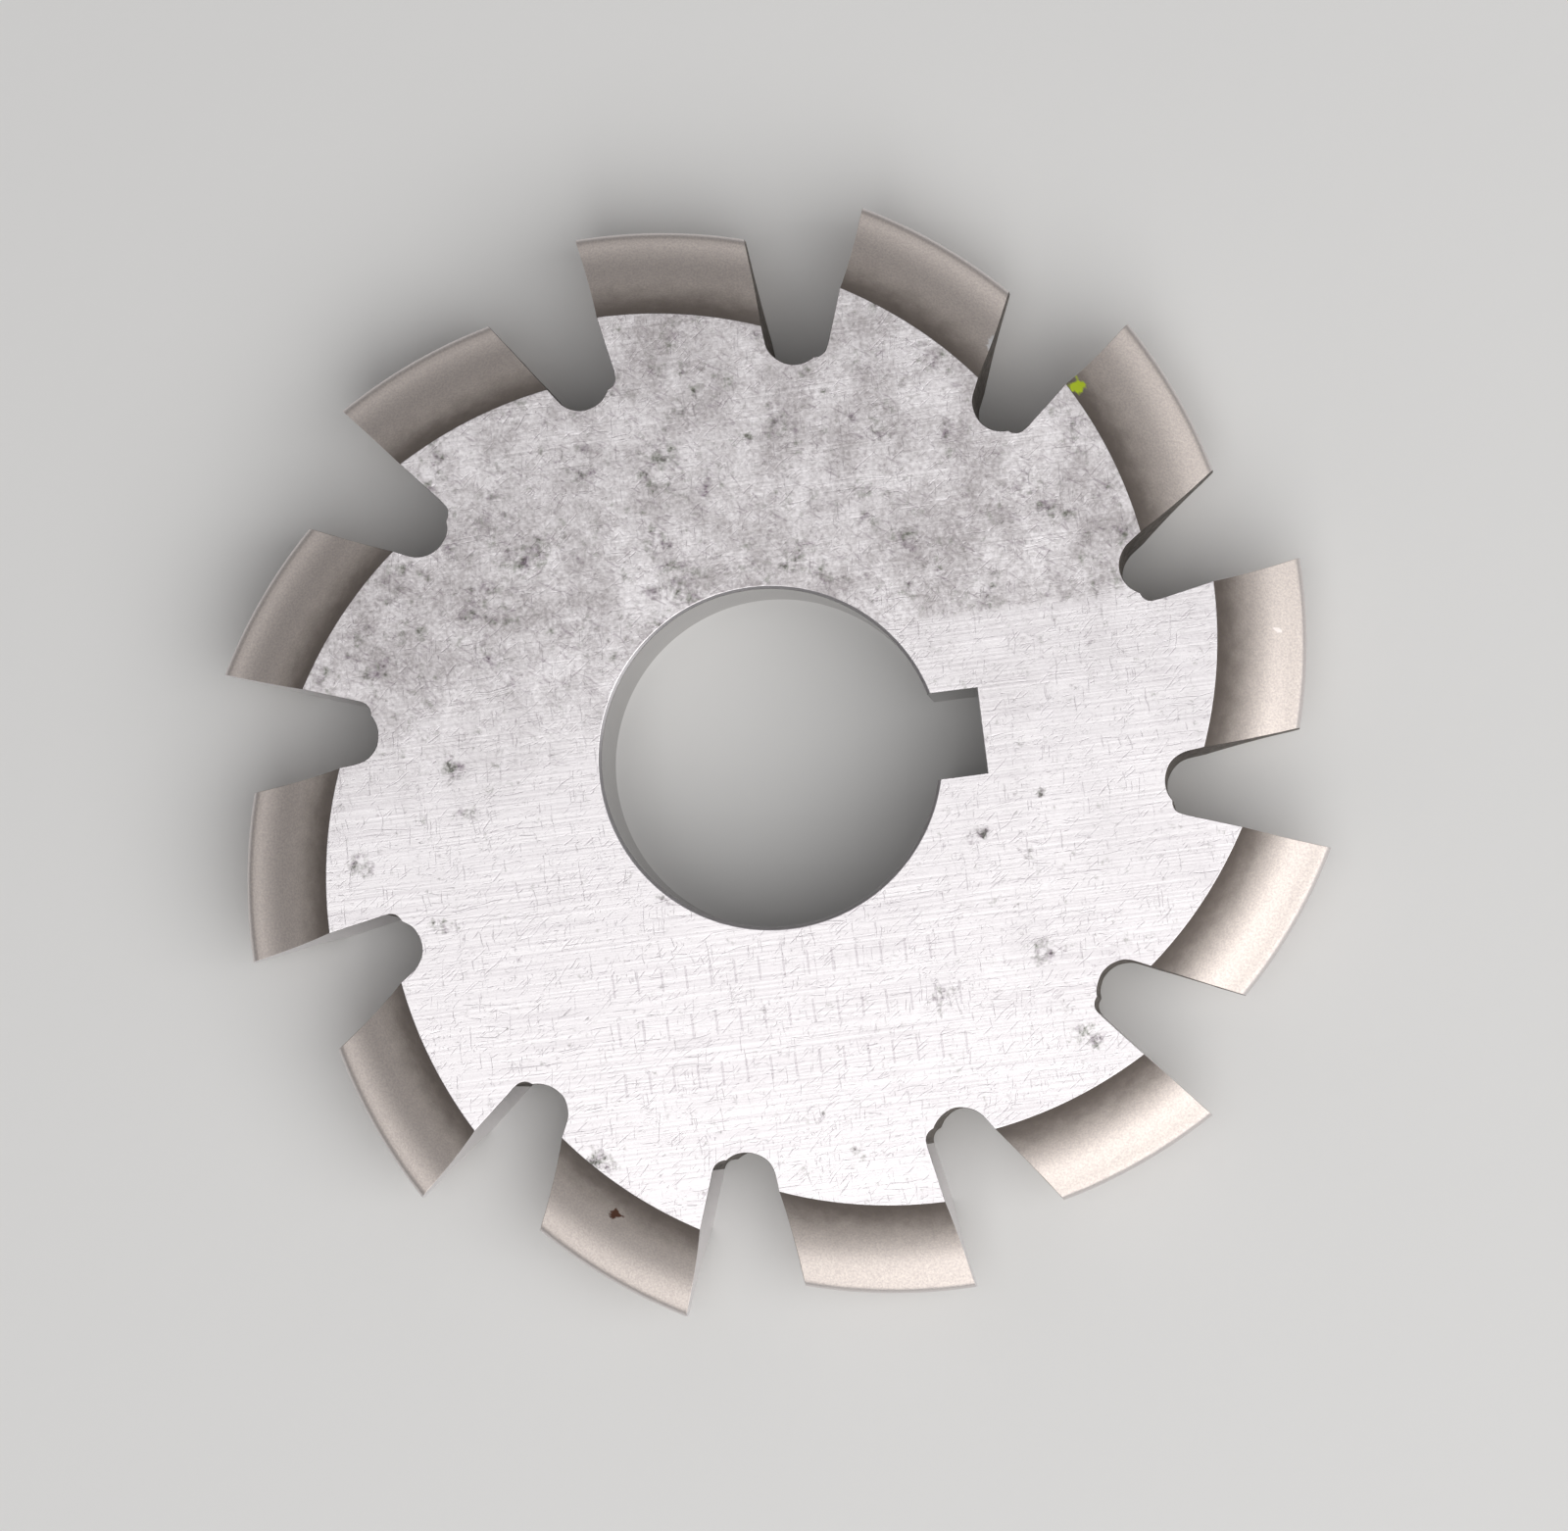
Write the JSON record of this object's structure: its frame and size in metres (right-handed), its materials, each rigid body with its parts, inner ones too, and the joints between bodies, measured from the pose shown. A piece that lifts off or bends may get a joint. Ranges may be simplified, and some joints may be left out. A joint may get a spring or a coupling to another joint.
{
  "type": "gear tooth milling cutter",
  "caption": "Disc milling cutter with form-relieved, hollow-sided teeth around a keyed arbor bore. It mills the tooth spaces of small gear wheels.",
  "frame": {"origin": "centre of the arbor bore, halfway through the thickness", "axes": "+Z along the bore towards the side from which the cutter turns anticlockwise, +X through the middle of the keyway"},
  "size_m": [0.052, 0.052, 0.0076],
  "materials": {
    "high_speed_steel": "surface-ground sides, satin relieved flanks, lightly pitted"
  },
  "bodies": {
    "root": {"gear_cutter": "high_speed_steel"}
  },
  "joints": []
}
